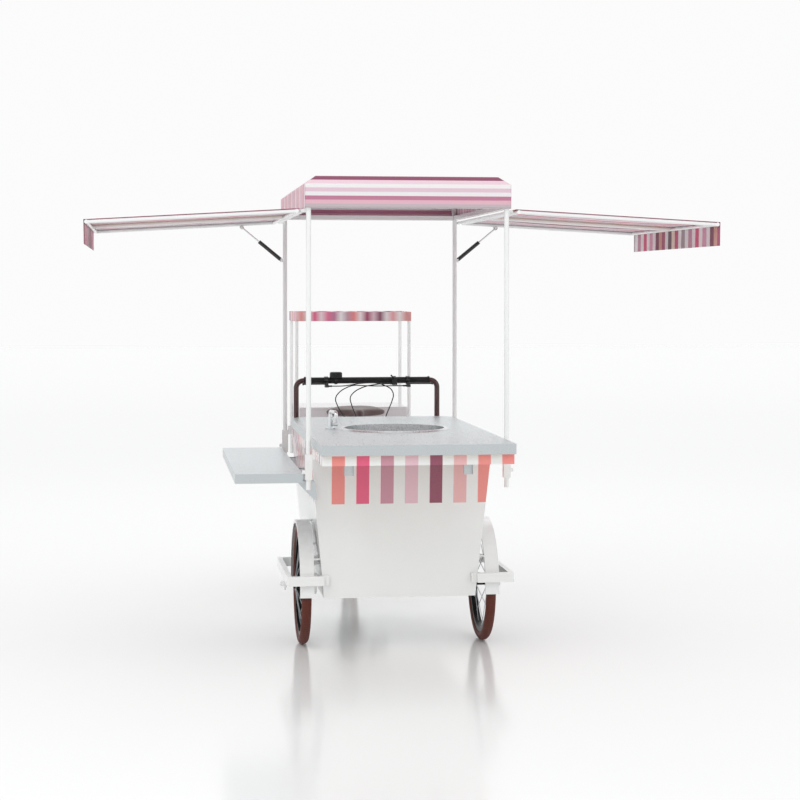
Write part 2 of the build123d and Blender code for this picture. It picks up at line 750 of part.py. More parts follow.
with BuildPart() as bell_lever:
    bar((bell_x, bar_y - 22 - seat_gap, bar_height + 24), (bell_x, bar_y - 30, bar_height + 24), 6)
    block(bell_x, bell_x + 26, bar_y - 29, bar_y - 25, bar_height + 21, bar_height + 27)
    bar((bell_x, bar_y - 20, bar_height + 24), (bell_x, bar_y - 36, bar_height + 24), 2.5 + pin_fit,
        Mode.SUBTRACT)
save(bell_lever, "bell_lever")

shifter_x = 130
with BuildPart() as shifter:
    bar((shifter_x - 8, bar_y, bar_height), (shifter_x + 8, bar_y, bar_height), clamp_radius + 4)
    block(shifter_x - 12, shifter_x + 12, bar_y - 34, bar_y - 17, bar_height - 22, bar_height + 14)
    bar((shifter_x - 10, bar_y, bar_height), (shifter_x + 10, bar_y, bar_height), clamp_radius,
        Mode.SUBTRACT)
    bar((shifter_x, bar_y - 33, bar_height + 6), (shifter_x, bar_y - 46, bar_height + 6), 3)
    bar((shifter_x - 22, bar_y - 26, bar_height - 16), (shifter_x - 11, bar_y - 26, bar_height - 16), 4)
save(shifter, "shifter")

with BuildPart() as shifter_lever:
    bar((shifter_x, bar_y - 34 - seat_gap, bar_height + 6), (shifter_x, bar_y - 42, bar_height + 6), 7)
    bar((shifter_x, bar_y - 38, bar_height + 6), (shifter_x - 20, bar_y - 38, bar_height + 26), 3.5)
    bar((shifter_x, bar_y - 32, bar_height + 6), (shifter_x, bar_y - 48, bar_height + 6), 3 + pin_fit,
        Mode.SUBTRACT)
save(shifter_lever, "shifter_lever")

# ---------------------------------------------------------------- kingpin and rear frame

with BuildPart() as kingpin:
    block(-40, 40, box_rear, box_rear + 6, king_low - 30, king_high + 40)
    block(-30, 30, box_rear + 5, king_y + 25, king_low - lug_thick, king_low)
    block(-30, 30, box_rear + 5, king_y + 25, king_high, king_high + lug_thick)
    bar((0, king_y, king_low - lug_thick - 8), (0, king_y, king_high + lug_thick + 8), king_radius)
    bar((0, king_y, king_low - lug_thick - 9), (0, king_y, king_high + lug_thick + 9), 5, Mode.SUBTRACT)
save(kingpin, "kingpin")

seat_run = Vector(0, seat_top_y - crank_y, seat_top_z - crank_z)
seat_way = seat_run.normalized()
crank_point = Vector(0, crank_y, crank_z)


def on_seat(share, x=0):
    point = crank_point + seat_run * share
    return (x, point.Y, point.Z)


with BuildPart() as rear_frame:
    bar((0, king_y, king_low + seat_gap), (0, king_y, king_high - seat_gap), sleeve_radius)
    bar((0, king_y + 12, king_high - 40), (0, crank_y, crank_z + 10), 19)
    bar((-36, crank_y, crank_z), (36, crank_y, crank_z), 24)
    bar(tuple(crank_point), on_seat(1), 17)
    bar(on_seat(0.45), (0, king_y + 200, (crank_z + king_high) / 2 - 8), 12)
    for side in (-1, 1):
        drop = (side * dropout_x, rear_axle_y, wheel_radius)
        bar((side * 28, crank_y + 12, crank_z - 2), drop, 8)
        bar(on_seat(0.8, side * 14), drop, 7)
        bar((side * (dropout_x - 3), rear_axle_y, wheel_radius), (side * (dropout_x + 3), rear_axle_y,
            wheel_radius), 18)
        bar(drop, (side * 140, rear_axle_y, rack_high - 8), 6)
        block(side * 132, side * 148, rear_box_front, rear_box_rear, rack_low, rack_high)
        bar((side * rear_hub_half + side * seat_gap, rear_axle_y, wheel_radius),
            (side * dropout_x, rear_axle_y, wheel_radius), 10)
        bar((side * dropout_x, rear_axle_y, wheel_radius), (side * (dropout_x + 12), rear_axle_y,
            wheel_radius), 10)
    bar((-dropout_x, rear_axle_y, wheel_radius), (dropout_x, rear_axle_y, wheel_radius), axle_radius)
    for y in (rear_box_front, rear_axle_y - 8, rear_box_rear - 16):
        block(-148, 148, y, y + 16, rack_low, rack_high)
    bar(on_seat(0.7), (0, rear_box_front + 2, rack_low + 4), 8)
    bar((0, king_y, king_low), (0, king_y, king_high), king_radius + pin_fit, Mode.SUBTRACT)
    bar((-40, crank_y, crank_z), (40, crank_y, crank_z), 8 + pin_fit, Mode.SUBTRACT)
    bar(on_seat(0.45), on_seat(1.1), 13.6 + pin_fit, Mode.SUBTRACT)
save(rear_frame, "rear_frame")

with BuildPart() as crankset:
    bar((-60, crank_y, crank_z), (60, crank_y, crank_z), 8)
    bar((-chain_x - 2, crank_y, crank_z), (-chain_x + 2, crank_y, crank_z), ring_radius)
    bar((-chain_x - 3, crank_y, crank_z), (-chain_x - 1, crank_y, crank_z), ring_radius - 25, Mode.SUBTRACT)
    for side in (-1, 1):
        bar((side * 50, crank_y, crank_z), (side * 71, crank_y, crank_z), 14)
        with BuildSketch(Plane.YZ.offset(side * 59 if side > 0 else -71)):
            with Locations((crank_y + side * crank_length / 2, crank_z)):
                SlotOverall(crank_length + 28, 26)
        extrude(amount=12)
        bar((side * 70, crank_y + side * crank_length, crank_z), (side * 152,
            crank_y + side * crank_length, crank_z), 6)
save(crankset, "crankset")

for side, name in ((-1, "right"), (1, "left")):
    with BuildPart() as pedal:
        pedal_y = crank_y + side * crank_length
        block(side * 74, side * 150, pedal_y - 45, pedal_y + 45, crank_z - 12, crank_z + 12)
        fillet(pedal.edges().filter_by(Axis.Z), 12)
        bar((side * 60, pedal_y, crank_z), (side * 160, pedal_y, crank_z), 6 + pin_fit, Mode.SUBTRACT)
    save(pedal, f"pedal_{name}")

with BuildPart() as chain:
    for extra, mode in ((seat_gap + 2 * chain_half, Mode.ADD), (seat_gap, Mode.SUBTRACT)):
        with BuildSketch(Plane.YZ.offset(-chain_x - chain_half)):
            with Locations((crank_y, crank_z)):
                Circle(ring_radius + extra)
            with Locations((rear_axle_y, wheel_radius)):
                Circle(cog_radius + extra)
            make_hull()
        extrude(amount=2 * chain_half, mode=mode)
save(chain, "chain")

with BuildPart() as rear_mudguard:
    fender_arc(0, rear_axle_y, 92)
    block(-20, 20, rear_axle_y - 8, rear_axle_y + 8, wheel_radius + fender_outer - 1, rack_low)
save(rear_mudguard, "rear_mudguard")

saddle_y = seat_top_y + 10
with BuildPart() as saddle:
    with BuildSketch(Plane.XY.offset(saddle_top - 55)):
        with Locations((0, saddle_y - 160)):
            Circle(26)
        with Locations((-saddle_half + 55, saddle_y + 40), (saddle_half - 55, saddle_y + 40)):
            Circle(55)
        make_hull()
    extrude(amount=55)
    fillet(saddle.edges().group_by(Axis.Z)[-1], 16)
    bar(on_seat(0.52), tuple(crank_point + seat_run * 1.08), 13.6)
save(saddle, "saddle")

with BuildPart() as rear_box:
    block(-rear_box_half, rear_box_half, rear_box_front, rear_box_rear, rack_high, rear_box_high)
    block(-rear_box_half + 4, rear_box_half - 4, rear_box_front + 4, rear_box_rear - 4, rack_high + 4,
        rear_box_high + 1,
          Mode.SUBTRACT)
    lid_axis_y = rear_box_rear + 7
    lid_axis_z = rear_box_high
    for x in (-150, 150):
        for offset in (-26, 20):
            block(x + offset, x + offset + 6, rear_box_rear - 1, lid_axis_y + 5, lid_axis_z - 20,
                lid_axis_z + 5)
        bar((x - 22, lid_axis_y, lid_axis_z), (x + 22, lid_axis_y, lid_axis_z), 3)
    block(-rear_box_half, rear_box_half, rear_box_rear - 6, rear_box_rear + 6, rear_box_high,
        rear_box_high + 20,
          Mode.SUBTRACT)
    for x in (-150, 150):
        for offset in (-26, 20):
            block(x + offset, x + offset + 6, rear_box_rear + seat_gap, lid_axis_y + 5, lid_axis_z - 20,
                lid_axis_z + 5)
save(rear_box, "rear_box")

with BuildPart() as rear_lid:
    lid_low = rear_box_high + seat_gap
    block(-rear_box_half, rear_box_half, rear_box_front, rear_box_rear, lid_low, lid_low + lid_thick)
    block(-40, 40, rear_box_front - 6, rear_box_front + 1, lid_low + 2, lid_low + lid_thick)
    for x in (-150, 150):
        for offset in (-27, 19):
            block(x + offset, x + offset + 8, rear_box_rear - 3, rear_box_rear + 1, lid_low - 1,
                lid_low + 20, Mode.SUBTRACT)
        block(x - 19, x + 19, rear_box_rear - 1, lid_axis_y, lid_low, lid_low + 8)
        bar((x - 19, lid_axis_y, lid_axis_z), (x + 19, lid_axis_y, lid_axis_z), 5)
        block(x - 19, x + 19, lid_axis_y - 5, lid_axis_y + 5, lid_axis_z, lid_low + 4)
        bar((x - 25, lid_axis_y, lid_axis_z), (x + 25, lid_axis_y, lid_axis_z), 3 + pin_fit, Mode.SUBTRACT)
save(rear_lid, "rear_lid")

sign_ys = (rear_box_front + 16, rear_box_rear - 10)
sign_ring = (sign_low + sign_high) / 2
with BuildPart() as sign_frame:
    for side in (-1, 1):
        for y in sign_ys:
            bar((side * sign_x, y, 640), (side * sign_x, y, sign_high - 3), sign_post)
            for z in (700, 850):
                block(side * rear_box_half, side * sign_x, y - 6, y + 6, z - 8, z + 8)
        bar((side * sign_x, sign_ys[0], sign_ring), (side * sign_x, sign_ys[1], sign_ring), 6)
    for y in sign_ys:
        bar((-sign_x, y, sign_ring), (sign_x, y, sign_ring), 6)
save(sign_frame, "sign_frame")

with BuildPart() as sign_band:
    inner = sign_post + seat_gap
    outer = inner + 2.5
    for reach, mode, extra in ((outer, Mode.ADD, 0), (inner, Mode.SUBTRACT, 1)):
        block(-sign_x - reach, sign_x + reach, sign_ys[0] - reach, sign_ys[1] + reach, sign_low - extra,
            sign_high + extra,
              mode)
save(sign_band, "sign_band")

# ---------------------------------------------------------------- cables

gland_x = 60
gland_z = 775
cable_radius = 2.5
with BuildPart() as cable_glands:
    for side in (-1, 1):
        bar((side * gland_x, box_rear, gland_z), (side * gland_x, box_rear + 14, gland_z), 8)
save(cable_glands, "cable_glands")

lever_cable_y = pivot_y + 14
lever_cable_z = lever_z - 12
make_cable("brake_cable_left", [
    (perch_x - 26, lever_cable_y, lever_cable_z), (115, lever_cable_y, lever_cable_z), (20, 336,
        1040), (-75, 334, 1046),
    (-130, 333, 1020), (-159, 332, 985), (-140, 328, 935), (-105, 318, 885), (-75, 305, 835), (-60, 270,
        790),
    (-gland_x, box_rear + 50, gland_z), (-gland_x, box_rear + 14, gland_z)], cable_radius)
make_cable("gear_cable", [
    (shifter_x - 22, bar_y - 26, bar_height - 16), (62, bar_y - 26, bar_height - 16), (-10, 346,
        1040), (-60, 340, 1018), (-88, 336, 988),
    (-76, 330, 945), (-52, 322, 885), (-30, 312, 820), (-14, 298, 750), (-5, 280, 680), (0, 258, 610),
    (0, king_y + 6, 540), (0, king_y, king_high + lug_thick + 8)], cable_radius)
make_cable("brake_cable_right", [
    (26 - perch_x, lever_cable_y, lever_cable_z), (-110, lever_cable_y, lever_cable_z), (-30, 322,
        1056), (50, 320, 1056),
    (108, 320, 1030), (123, 320, 1000), (108, 316, 955), (84, 308, 905), (70, 296, 855), (62, 275, 800),
    (gland_x, box_rear + 50, gland_z), (gland_x, box_rear + 14, gland_z)], cable_radius)
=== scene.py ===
import bmesh
import bpy
import json
import numpy as np
from math import radians
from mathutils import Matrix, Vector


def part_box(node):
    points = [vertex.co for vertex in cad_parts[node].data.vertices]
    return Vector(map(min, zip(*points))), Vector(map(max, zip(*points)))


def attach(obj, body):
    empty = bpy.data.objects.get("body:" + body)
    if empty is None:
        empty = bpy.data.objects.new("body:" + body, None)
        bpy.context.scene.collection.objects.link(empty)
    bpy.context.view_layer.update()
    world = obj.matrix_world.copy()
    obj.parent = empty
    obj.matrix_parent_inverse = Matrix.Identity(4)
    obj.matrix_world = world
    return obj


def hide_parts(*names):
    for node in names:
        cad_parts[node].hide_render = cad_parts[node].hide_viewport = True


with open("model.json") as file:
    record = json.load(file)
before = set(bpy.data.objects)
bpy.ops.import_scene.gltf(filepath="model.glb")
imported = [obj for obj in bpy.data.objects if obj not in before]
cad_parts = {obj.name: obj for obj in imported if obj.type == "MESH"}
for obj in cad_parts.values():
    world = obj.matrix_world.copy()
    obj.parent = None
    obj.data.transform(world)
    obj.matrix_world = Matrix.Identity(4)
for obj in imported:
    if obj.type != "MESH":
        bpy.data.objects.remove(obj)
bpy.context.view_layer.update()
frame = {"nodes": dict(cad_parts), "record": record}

mm = 0.001
bodyOf = {nodeName: bodyName for bodyName,
    names in frame["record"]["behaviour"]["bodies"].items() for nodeName in names}


def corners(nodeName):
    low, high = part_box(nodeName)
    return np.array(low, float), np.array(high, float)


def linear(hexColour):
    # sRGB hex to linear: the square-law curve with its straight foot
    c = np.array([int(hexColour[i:i + 2], 16) for i in (0, 2, 4)]) / 255
    rgb = np.where(c <= 0.04045, c / 12.92, ((c + 0.055) / 1.055) ** 2.4)
    return (*[float(v) for v in rgb], 1.0)


# materials

def newMaterial(name):
    mat = bpy.data.materials.new(name)
    mat.use_nodes = True
    return mat, mat.node_tree.nodes["Principled BSDF"]


def addNode(mat, kind, inputs=None, **settings):
    # one node with its settings; an input is a plain value or an output socket to link
    made = mat.node_tree.nodes.new(kind)
    for key, value in settings.items():
        setattr(made, key, value)
    for key, value in (inputs or {}).items():
        if isinstance(value, bpy.types.NodeSocket):
            mat.node_tree.links.new(value, made.inputs[key])
        else:
            made.inputs[key].default_value = value
    return made


def joinSockets(mat, source, target):
    mat.node_tree.links.new(source, target)


def fillRamp(ramp, colours, interpolation="CONSTANT", depth=1.0):
    # the colours in equal steps from 0 to 1; depth is a power that lays the inks deeper
    ramp.color_ramp.interpolation = interpolation
    stops = ramp.color_ramp.elements
    while len(stops) < len(colours):
        stops.new(1.0)
    for index, colour in enumerate(colours):
        stops[index].position = index / len(colours)
        stops[index].color = tuple(v ** depth for v in linear(colour))
    return ramp


def surfaceFinish(name, colour, grainMm=1.0, bump=0.05, metallic=0.0, rough=0.4, roughSpread=0.08, tint=0.04,
                  coat=0.0, stretch=(1, 1, 1), sheen=0.0):
    # base colour with slow tint change, a grain of a real size in the bump, and rough patches
    mat, shader = newMaterial(name)
    place = addNode(mat, "ShaderNodeTexCoord")
    mapped = addNode(mat, "ShaderNodeMapping", {"Vector": place.outputs["Object"], "Scale": stretch})
    slow = addNode(mat, "ShaderNodeTexNoise", {"Vector": mapped.outputs["Vector"], "Scale": 6.0, "Detail": 4.0})
    grain = addNode(mat, "ShaderNodeTexNoise",
                    {"Vector": mapped.outputs["Vector"], "Scale": 1.0 / (grainMm * mm), "Detail": 3.0})
    base = linear(colour)
    dark = tuple(v * (1 - 3 * tint) for v in base[:3]) + (1.0,)
    light = tuple(min(1.0, v * (1 + tint)) for v in base[:3]) + (1.0,)
    mixed = addNode(mat, "ShaderNodeMix", {"Factor": slow.outputs["Fac"], 6: dark, 7: light}, data_type="RGBA")
    spread = addNode(mat, "ShaderNodeMapRange", {"Value": grain.outputs["Fac"], "From Min": 0.3,
        "From Max": 0.7,
                                                 "To Min": max(0.02, rough - roughSpread),
                                                     "To Max": rough + roughSpread})
    relief = addNode(mat, "ShaderNodeBump", {"Height": grain.outputs["Fac"], "Strength": bump,
        "Distance": grainMm * mm})
    joinSockets(mat, mixed.outputs[2], shader.inputs["Base Color"])
    joinSockets(mat, spread.outputs["Result"], shader.inputs["Roughness"])
    joinSockets(mat, relief.outputs["Normal"], shader.inputs["Normal"])
    shader.inputs["Metallic"].default_value = metallic
    shader.inputs["Coat Weight"].default_value = coat
    shader.inputs["Sheen Weight"].default_value = sheen
    return mat


boxPrint = {"low": 0.619, "high": 0.866, "pitch": 0.101, "width": 0.0535, "first": -0.2875,
            "frameFirst": -0.336, "frameScale": 0.935,
            "colours": ["F6948D", "ED6087", "CF96A7", "EBC5D0", "964C65", "F0BCBC", "F5968E"],
                "ground": "F4F6F5"}


def printedPowderCoat(name, first, scale=1.0):
    # gloss white powder coat with a screen-printed band of stripes round the top of the box
    mat = surfaceFinish(name, boxPrint["ground"], grainMm=1.5, bump=0.05, rough=0.25, coat=0.3, tint=0.01)
    shader = mat.node_tree.nodes["Principled BSDF"]
    ground = shader.inputs["Base Color"].links[0].from_socket
    place = addNode(mat, "ShaderNodeTexCoord")
    axes = addNode(mat, "ShaderNodeSeparateXYZ", {"Vector": place.outputs["Object"]})
    facing = addNode(mat, "ShaderNodeNewGeometry")
    normal = addNode(mat, "ShaderNodeSeparateXYZ", {"Vector": facing.outputs["True Normal"]})
    sideways = addNode(mat, "ShaderNodeMath", {0: normal.outputs["X"]}, operation="ABSOLUTE")
    isSide = addNode(mat, "ShaderNodeMath", {0: sideways.outputs[0], 1: 0.7}, operation="GREATER_THAN")
    along = addNode(mat, "ShaderNodeMix", {"Factor": isSide.outputs[0], 2: axes.outputs["X"],
        3: axes.outputs["Y"]})
    shifted = addNode(mat, "ShaderNodeMath", {0: along.outputs[0], 1: first}, operation="SUBTRACT")
    steps = addNode(mat, "ShaderNodeMath", {0: shifted.outputs[0], 1: boxPrint["pitch"] * scale},
        operation="DIVIDE")
    within = addNode(mat, "ShaderNodeMath", {0: steps.outputs[0]}, operation="FRACT")
    inked = addNode(mat, "ShaderNodeMath", {0: within.outputs[0], 1: boxPrint["width"] / boxPrint["pitch"]},
                    operation="LESS_THAN")
    turns = addNode(mat, "ShaderNodeMath", {0: steps.outputs[0], 1: float(len(boxPrint["colours"]))},
        operation="DIVIDE")
    turn = addNode(mat, "ShaderNodeMath", {0: turns.outputs[0]}, operation="FRACT")
    inks = fillRamp(addNode(mat, "ShaderNodeValToRGB", {"Fac": turn.outputs[0]}), boxPrint["colours"])
    above = addNode(mat, "ShaderNodeMath", {0: axes.outputs["Z"], 1: boxPrint["low"]}, operation="GREATER_THAN")
    below = addNode(mat, "ShaderNodeMath", {0: axes.outputs["Z"], 1: boxPrint["high"]}, operation="LESS_THAN")
    band = addNode(mat, "ShaderNodeMath", {0: above.outputs[0], 1: below.outputs[0]}, operation="MULTIPLY")
    # the front starts with its first stripe; the side walls carry the print from end to end
    started = addNode(mat, "ShaderNodeMath", {0: shifted.outputs[0], 1: 0.0}, operation="GREATER_THAN")
    shown = addNode(mat, "ShaderNodeMath", {0: started.outputs[0], 1: isSide.outputs[0]}, operation="MAXIMUM")
    printed = addNode(mat, "ShaderNodeMath", {0: band.outputs[0], 1: shown.outputs[0]}, operation="MULTIPLY")
    mask = addNode(mat, "ShaderNodeMath", {0: printed.outputs[0], 1: inked.outputs[0]}, operation="MULTIPLY")
    colour = addNode(mat, "ShaderNodeMix", {"Factor": mask.outputs[0], 6: ground, 7: inks.outputs["Color"]},
                     data_type="RGBA")
    joinSockets(mat, colour.outputs[2], shader.inputs["Base Color"])
    return mat


# the first eight follow the front valance from hem to hip, the rest only show along the sides and top
awning = {"period": 0.36, "thread": 1.6,
          "roof": ["C9BBC0", "E8B9C8", "C4809A", "F3F1F3", "E8CBD8", "F7F4F4", "EFD0DC", "8C4060", "D9A9B8",
              "F0E4E6",
                   "E5A9B9", "F4D8DF", "BE6A88", "F0D0D8", "CB98A6", "F5F0F1"],
          "flap": ["F5EFF0", "DC4F80", "F3E9EB", "C98CA4", "F3ECEE", "AD97A0", "F5EEEF", "C9507A", "EFD9C9",
              "73505F",
                   "F4ECEE", "B04A70", "DBA294", "843A58", "F4EAED", "DE9BB6"],
          "flapPeriod": 0.85,
          "sign": ["EFD9DC", "EC9C9A", "F2EAEC", "E8648F", "F0DDE3", "E77A9E", "C682A0", "F3EDEF", "C9A0B0",
              "EE8E8C",
                   "F3E6E9", "A8486C", "E2C3CD", "8E5069", "F0E6E8", "E8A3A8", "F3ECEC", "DD9C9C"]}


def wovenStripes(name, colours, period, blend="CONSTANT"):
    # solution-dyed canvas: yarn-dyed stripes along the weft, a plain weave drawn a little coarser than real
    mat, shader = newMaterial(name)
    place = addNode(mat, "ShaderNodeUVMap", uv_map="cloth")
    axes = addNode(mat, "ShaderNodeSeparateXYZ", {"Vector": place.outputs["UV"]})
    steps = addNode(mat, "ShaderNodeMath", {0: axes.outputs["Y"], 1: period}, operation="DIVIDE")
    turn = addNode(mat, "ShaderNodeMath", {0: steps.outputs[0]}, operation="FRACT")
    stripes = fillRamp(addNode(mat, "ShaderNodeValToRGB", {"Fac": turn.outputs[0]}), colours, blend)
    perMetre = 1 / (awning["thread"] * mm * 3)
    warp = addNode(mat, "ShaderNodeTexWave", {"Vector": place.outputs["UV"], "Scale": perMetre},
        bands_direction="X")
    weft = addNode(mat, "ShaderNodeTexWave", {"Vector": place.outputs["UV"], "Scale": perMetre},
        bands_direction="Y")
    weave = addNode(mat, "ShaderNodeMath", {0: warp.outputs["Fac"], 1: weft.outputs["Fac"]},
        operation="MULTIPLY")
    # painted light and shade of the weave: the thread crossings a little lighter and the dips between them darker,
    # multiplied over the stripe colours
    shade = addNode(mat, "ShaderNodeMapRange", {"Value": weave.outputs[0], "To Min": 0.9, "To Max": 1.03})
    grey = addNode(mat, "ShaderNodeCombineColor", {0: shade.outputs[0], 1: shade.outputs[0],
        2: shade.outputs[0]})
    weaveShaded = addNode(mat, "ShaderNodeMix", {"Factor": 1.0, 6: stripes.outputs["Color"],
        7: grey.outputs["Color"]},
                     data_type="RGBA", blend_type="MULTIPLY")
    relief = addNode(mat, "ShaderNodeBump", {"Height": weave.outputs[0], "Strength": 0.3, "Distance": 0.4 * mm})
    joinSockets(mat, weaveShaded.outputs[2], shader.inputs["Base Color"])
    joinSockets(mat, relief.outputs["Normal"], shader.inputs["Normal"])
    shader.inputs["Roughness"].default_value = 0.85
    shader.inputs["Sheen Weight"].default_value = 0.25
    return mat


finishes = {
    # polyester powder coat, baked on steel: gloss white with a faint orange peel
    "powderWhite": surfaceFinish("powderCoatWhite", "F4F6F5", grainMm=1.5, bump=0.05, rough=0.25, coat=0.3,
        tint=0.01),
    "boxPrinted": printedPowderCoat("powderCoatPrinted", boxPrint["first"]),
    "framePrinted": printedPowderCoat("powderCoatFrame", boxPrint["frameFirst"], boxPrint["frameScale"]),
    # 304 stainless sheet, brushed along its length: soft streaks that widen the highlight
    "brushedSteel": surfaceFinish("brushedStainless", "C9CFD1", grainMm=3, bump=0.03, metallic=1.0, rough=0.34,
                                  roughSpread=0.1, tint=0.02, stretch=(1, 0.04, 1)),
    # pressed stainless, polished: tight mirror with light wipe marks
    "polishedSteel": surfaceFinish("polishedStainless", "E2E5E6", grainMm=6, bump=0.02, metallic=1.0,
        rough=0.3, tint=0.02),
    "chrome": surfaceFinish("chromePlate", "E4E6E8", grainMm=8, bump=0.01, metallic=1.0, rough=0.06,
        roughSpread=0.03),
    "birch": surfaceFinish("birchPlywood", "C9A77C", grainMm=2, bump=0.2, rough=0.6, tint=0.12, stretch=(1,
        0.08, 6)),
    # red-brown tyre rubber, moulded: dull with a slight bloom
    "tyreRubber": surfaceFinish("tyreRubberBrown", "5E200D", grainMm=0.8, bump=0.3, rough=0.6, tint=0.1),
    "blackEnamel": surfaceFinish("blackEnamel", "141415", grainMm=1, bump=0.05, rough=0.3, coat=0.4),
    "barEnamel": surfaceFinish("maroonEnamel", "430D08", grainMm=1.5, bump=0.03, rough=0.2, coat=0.6,
        tint=0.06),
    "gripRubber": surfaceFinish("gripRubber", "121213", grainMm=0.9, bump=0.4, rough=0.65),
    "blackNylon": surfaceFinish("blackNylon", "18181A", grainMm=0.7, bump=0.15, rough=0.45),
    "saddleHide": surfaceFinish("saddleLeather", "543936", grainMm=2.2, bump=0.45, rough=0.42, tint=0.12,
        coat=0.15),
    "tankPolythene": surfaceFinish("tankPolythene", "DDE3E6", grainMm=2, bump=0.1, rough=0.4, tint=0.03),
    # gel-coated glass fibre: smooth, cold pinkish white
    "gelCoat": surfaceFinish("gelCoat", "DDDADC", grainMm=5, bump=0.02, rough=0.22, coat=0.4, tint=0.02),
    "oiledSteel": surfaceFinish("oiledSteel", "6E6A66", grainMm=0.9, bump=0.2, metallic=1.0, rough=0.38,
        tint=0.1),
    "cablePvc": surfaceFinish("cableSheath", "0E0E0F", grainMm=0.6, bump=0.1, rough=0.4),
    "roofCanvas": wovenStripes("awningCanvas", awning["roof"], awning["period"]),
    "flapCanvas": wovenStripes("flapCanvas", awning["flap"], awning["flapPeriod"]),
    "signCanvas": wovenStripes("signCanvas", awning["sign"], 0.6, blend="LINEAR"),
}


def wheelFinish(nodeName):
    # black rim and hub, bare steel spokes between: told apart by the distance from the axle
    low, high = corners(nodeName)
    middle = (low + high) / 2
    mat = surfaceFinish("anodised_" + nodeName, "17181A", grainMm=0.8, bump=0.05, metallic=0.7, rough=0.32)
    shader = mat.node_tree.nodes["Principled BSDF"]
    black = shader.inputs["Base Color"].links[0].from_socket
    place = addNode(mat, "ShaderNodeTexCoord")
    moved = addNode(mat, "ShaderNodeMapping", {"Vector": place.outputs["Object"],
                                               "Location": tuple(float(-v) for v in middle)})
    flat = addNode(mat, "ShaderNodeVectorMath", {0: moved.outputs["Vector"], 1: (0, 1, 1)},
        operation="MULTIPLY")
    reach = addNode(mat, "ShaderNodeVectorMath", {0: flat.outputs[0]}, operation="LENGTH")
    pastHub = addNode(mat, "ShaderNodeMath", {0: reach.outputs["Value"], 1: 24 * mm}, operation="GREATER_THAN")
    insideRim = addNode(mat, "ShaderNodeMath", {0: reach.outputs["Value"], 1: 199 * mm}, operation="LESS_THAN")
    spokes = addNode(mat, "ShaderNodeMath", {0: pastHub.outputs[0], 1: insideRim.outputs[0]},
        operation="MULTIPLY")
    colour = addNode(mat, "ShaderNodeMix", {"Factor": spokes.outputs[0], 6: black, 7: linear("A9AEB2")},
        data_type="RGBA")
    joinSockets(mat, colour.outputs[2], shader.inputs["Base Color"])
    return mat


for wheelName in ("wheel_left", "wheel_right", "wheel_rear"):
    finishes[wheelName] = wheelFinish(wheelName)
print("materials", len(finishes))

nodeFinish = {
    "powderWhite": ["post_sockets", "posts_front", "posts_rear", "canopy_frame", "wheel_guards",
                    "front_fenders", "rear_frame", "kingpin", "sign_frame", "rear_mudguard", "flap_frame_left",
                    "flap_frame_right"],
    "boxPrinted": ["box_body"],
    "framePrinted": ["subframe"],
    "brushedSteel": ["worktop", "side_shelf", "hanger_tabs", "shelf_brackets"],
    "polishedSteel": ["basin"],
    "chrome": ["tap_base", "tap_spout", "tap_lever", "strut_rod_left", "strut_rod_right"],
    "birch": ["worktop_core"],
    "tyreRubber": ["tyre_left", "tyre_right", "tyre_rear"],
    "wheel_left": ["wheel_left"],
    "wheel_right": ["wheel_right"],
    "wheel_rear": ["wheel_rear"],
    "blackEnamel": ["strut_cylinder_left", "strut_cylinder_right", "lever_perches", "brake_lever_left",
                    "brake_lever_right", "crankset"],
    "barEnamel": ["handlebar"],
    "gripRubber": ["handle_grip", "pedal_left", "pedal_right"],
    "blackNylon": ["bell", "bell_lever", "shifter", "shifter_lever", "cable_glands"],
    "saddleHide": ["saddle"],
    "tankPolythene": ["water_tanks", "drain_pipe"],
    "gelCoat": ["rear_box", "rear_lid"],
    "oiledSteel": ["chain"],
    "cablePvc": ["brake_cable_left", "brake_cable_right", "gear_cable", "supply_hose"],
    "roofCanvas": ["canopy_cover"],
    "flapCanvas": ["flap_fabric_left", "flap_fabric_right"],
    "signCanvas": ["sign_band"],
}
for finishName, names in nodeFinish.items():
    for nodeName in names:
        data = frame["nodes"][nodeName].data
        data.materials.clear()
        data.materials.append(finishes[finishName])
print("nodes painted", sum(len(names) for names in nodeFinish.values()))


# mesh making

def meshPiece(name, points, faces, finish, body, uv=None, smooth=True, merge=False):
    # points n x 3, faces m x 4; uv is one pair for each face corner; merge closes seams and poles
    mesh = bpy.data.meshes.new(name)
    mesh.vertices.add(len(points))
    mesh.vertices.foreach_set("co", np.asarray(points, np.float32).ravel())
    mesh.loops.add(faces.size)
    mesh.loops.foreach_set("vertex_index", faces.astype(np.int32).ravel())
    mesh.polygons.add(len(faces))
    mesh.polygons.foreach_set("loop_start", np.arange(0, faces.size, 4, dtype=np.int32))
    mesh.polygons.foreach_set("use_smooth", np.full(len(faces), smooth))
    mesh.update(calc_edges=True)
    if uv is not None:
        layer = mesh.uv_layers.new(name="cloth")
        layer.data.foreach_set("uv", np.asarray(uv, np.float32).ravel())
    mesh.validate()
    if merge:
        joined = bmesh.new()
        joined.from_mesh(mesh)
        bmesh.ops.remove_doubles(joined, verts=joined.verts, dist=0.02 * mm)
        joined.to_mesh(mesh)
        joined.free()
    piece = bpy.data.objects.new(name, mesh)
    bpy.context.scene.collection.objects.link(piece)
    mesh.materials.append(finishes[finish])
    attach(piece, body)
    return piece


def gridFaces(rows, columns, closeRows=False, closeColumns=False):
    # quads between neighbouring rows and columns, wrapping where closed
    i, j = np.meshgrid(np.arange(rows - (not closeRows)), np.arange(columns - (not closeColumns)),
        indexing="ij")
    i2, j2 = (i + 1) % rows, (j + 1) % columns
    return np.stack([i * columns + j, i2 * columns + j, i2 * columns + j2, i * columns + j2], -1).reshape(-1, 4)


